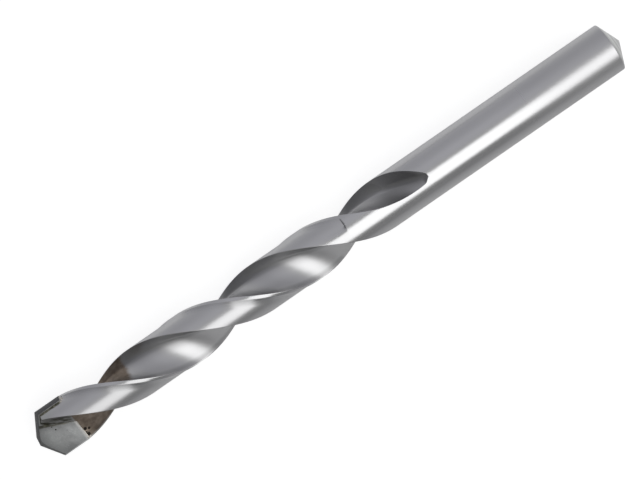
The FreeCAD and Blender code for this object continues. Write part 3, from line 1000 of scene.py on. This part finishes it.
def brazeMetal():
    # dull with residue beside the plate, bright behind it
    material, tree, shader = newMaterial("braze_metal")
    look, place = brazeLook, bitCoordinates(tree)
    shader.inputs["Metallic"].default_value = look["metallic"]
    blotches = noise(tree, place["point"], *look["blotchNoise"])
    behind = remap(tree, place["station"], *look["rearRange"])
    residue = blendColours(tree, remap(tree, blotches, *look["residueRange"]), *look["residues"])
    bright = blendColours(tree, remap(tree, blotches, *look["brightRange"]), *look["brights"])
    tree.links.new(blendColours(tree, behind, residue, bright), shader.inputs["Base Color"])
    tree.links.new(mixValues(tree, behind, *look["roughness"]), shader.inputs["Roughness"])
    addBump(tree, shader, blotches, look["bump"])
    return material


# studio

studio = {
    "floorReach": 1500,
    "floorColour": 0.82,
    "floorSeen": 0.36,          # share of the floor's look that the light makes, with its shadow
    "floorLift": 0.82,          # how much whiter the floor is than that
    "floorDark": 0.42,          # the far floor on the panel's side, as the steel mirrors it
    "floorPale": 0.95,          # and the near floor, with a little light of its own
    "poolLift": 0.09,
    "poolFrom": -36,
    "poolTo": 16,
    "panelPower": 4.1,
    "panelFrom": 4.7,           # degrees from the camera's direction, round the bit
    "panelTo": 52.5,
    "panelDistance": 600,
    "panelLength": 1500,
    "panelShift": 350,          # toward the tail
    "panelFade": 0.31,          # share of its length over which it fades out, at the point's end
    # degrees round the bit from the camera's direction, and how bright the room is there
    "room": ((-110, 0.6), (-93, 0.58), (-71, 0.53), (-51, 0.57), (-31, 0.66), (-16, 0.64), (-2, 0.58),
             (54, 0.5), (62, 0.32), (74, 0.29), (110, 0.31)),
    "coolFrom": -95,            # and where its light is a little cooler
    "coolTo": -8,
    "coolShare": 0.03,
    "pointEnd": (-0.65, -0.05, 0.28, 1.0),      # how bright the room is beyond the point of the bit
    "tailEnd": (0.05, 0.6, 1.0, 0.78),          # and beyond its tail
}

camera = {
    "lens": 140,
    "sensor": 36,
    "distance": 423.1,
    "picturedTurn": 34.65,      # slope of the bit in the picture
    "station": 58.87,           # point of the bit that is in the middle of the picture
    "aside": 1.015,
    "clipNear": 10,
    "clipFar": 10000,
}


def aroundBit(angle):
    # direction square to the bit, this far from the camera's, toward the bottom of the picture
    turn = math.radians(90 + bit["layTurn"] + angle)
    return Vector((0, math.cos(turn), math.sin(turn)))


def bitPoint(station, aside=0.0):
    turn = math.radians(bit["layTurn"])
    across = Vector((0, math.cos(turn), math.sin(turn))) * aside
    return (Vector((station - bit["length"] / 2, 0, bit["axisHeight"])) + across) * mm


def placeCamera():
    data = bpy.data.cameras.new("photo_camera")
    data.lens, data.sensor_width = camera["lens"], camera["sensor"]
    data.clip_start, data.clip_end = camera["clipNear"] * mm, camera["clipFar"] * mm
    holder = newObject("photo_camera", data)
    turn = math.radians(camera["picturedTurn"])
    lay = Matrix.Rotation(math.radians(bit["layTurn"]), 3, "X")
    right = lay @ Vector((math.cos(turn), -math.sin(turn), 0))
    up = lay @ Vector((math.sin(turn), math.cos(turn), 0))
    back = lay @ Vector((0, 0, 1))
    place = bitPoint(camera["station"], camera["aside"]) + back * camera["distance"] * mm
    holder.matrix_world = Matrix((right, up, back)).transposed().to_4x4()
    holder.matrix_world.translation = place
    bpy.context.scene.camera = holder


def addPanel():
    first, last = studio["panelFrom"], studio["panelTo"]
    middle, half = (first + last) / 2, math.radians((last - first) / 2)
    data = bpy.data.lights.new("side_panel", "AREA")
    data.shape = "RECTANGLE"
    data.size = studio["panelLength"] * mm
    data.size_y = 2 * studio["panelDistance"] * mm * math.tan(half)
    data.energy = studio["panelPower"]
    light = newObject("side_panel", data)
    along, towards = Vector((1, 0, 0)), aroundBit(middle)
    light.matrix_world = Matrix((along, towards.cross(along), towards)).transposed().to_4x4()
    station = bit["length"] / 2 + studio["panelShift"]
    light.location = bitPoint(station) + towards * studio["panelDistance"] * mm
    data.use_nodes = True
    tree = data.node_tree
    across = addNode(tree, "NewGeometry").outputs["Parametric"]
    place = addNode(tree, "SeparateXYZ", Vector=across)
    fade = remap(tree, place.outputs["X"], 0.0, studio["panelFade"])
    tree.links.new(fade, tree.nodes["Emission"].inputs["Strength"])


def addFloor():
    mesh = bpy.data.meshes.new("floor")
    reach = studio["floorReach"] * mm
    mesh.from_pydata([(-reach, -reach, 0), (reach, -reach, 0), (reach, reach, 0), (-reach, reach, 0)],
                     [], [(0, 1, 2, 3)])
    floor = newObject("floor", mesh)
    material = bpy.data.materials.new("pale_floor")
    material.use_nodes = True
    tree = material.node_tree
    tree.nodes.clear()
    output = addNode(tree, "OutputMaterial")
    rays = addNode(tree, "LightPath")
    glossy, seen = rays.outputs["Is Glossy Ray"], rays.outputs["Is Camera Ray"]
    point = addNode(tree, "TexCoord").outputs["Object"]
    aside = addNode(tree, "SeparateXYZ", Vector=point)
    share = remap(tree, aside.outputs["Y"], studio["poolFrom"] * mm, studio["poolTo"] * mm)
    pool = mixValues(tree, share, studio["floorDark"], studio["floorPale"])
    lit = mixValues(tree, glossy, studio["floorColour"], pool)
    lit = mixValues(tree, seen, lit, studio["floorSeen"])
    diffuse = addNode(tree, "BsdfDiffuse", Color=lit)
    glow = mixValues(tree, glossy, 0.0, multiply(tree, share, studio["poolLift"]))
    glow = mixValues(tree, seen, glow, studio["floorLift"])
    lift = addNode(tree, "Emission", Color=(1, 1, 1, 1), Strength=glow)
    both = addNode(tree, "AddShader")
    tree.links.new(diffuse.outputs[0], both.inputs[0])
    tree.links.new(lift.outputs[0], both.inputs[1])
    tree.links.new(both.outputs[0], output.inputs["Surface"])
    mesh.materials.append(material)


def lightWorld():
    world = bpy.data.worlds.new("studio_world")
    world.use_nodes = True
    bpy.context.scene.world = world
    tree = world.node_tree
    background = tree.nodes["Background"]
    towards = addNode(tree, "TexCoord").outputs["Generated"]
    direction = addNode(tree, "SeparateXYZ", Vector=towards)
    front = multiply(tree, direction.outputs["Y"], -1.0)
    around = calculate(tree, "ARCTAN2", front, direction.outputs["Z"])
    strip = addNode(tree, "ValToRGB")
    share = add(tree, calculate(tree, "DIVIDE", around, 2 * math.pi), 0.5)
    tree.links.new(share, strip.inputs["Fac"])
    stops = strip.color_ramp.elements
    while len(stops) < len(studio["room"]):
        stops.new(0.5)
    for stop, (angle, level) in zip(stops, studio["room"]):
        stop.position = (angle + bit["layTurn"]) / 360 + 0.5
        cool = studio["coolShare"] * (studio["coolFrom"] < angle < studio["coolTo"])
        stop.color = (level * (1 - cool), level * (1 - cool), level * (1 + cool), 1)
    pointEnd = remap(tree, direction.outputs["X"], *studio["pointEnd"])
    tailEnd = remap(tree, direction.outputs["X"], *studio["tailEnd"])
    ends = multiply(tree, pointEnd, tailEnd)
    rays = addNode(tree, "LightPath")
    seen = rays.outputs["Is Camera Ray"]
    tree.links.new(blendColours(tree, seen, strip.outputs["Color"], (1, 1, 1)), background.inputs["Color"])
    tree.links.new(mixValues(tree, seen, ends, 1.0), background.inputs["Strength"])


bpy.context.scene.view_settings.view_transform = "Standard"
steelBody = makeSteelBody(groundSteel())
print("steel body", len(steelBody.data.polygons), "faces")
carbideTip = makeCarbideTip(carbideGrey())
brazeSeam = makeBrazeSeam(brazeMetal())
print("tip", len(carbideTip.data.polygons), "faces, braze", len(brazeSeam.data.polygons), "faces")
placeCamera()
addPanel()
addFloor()
lightWorld()
print("studio ready")
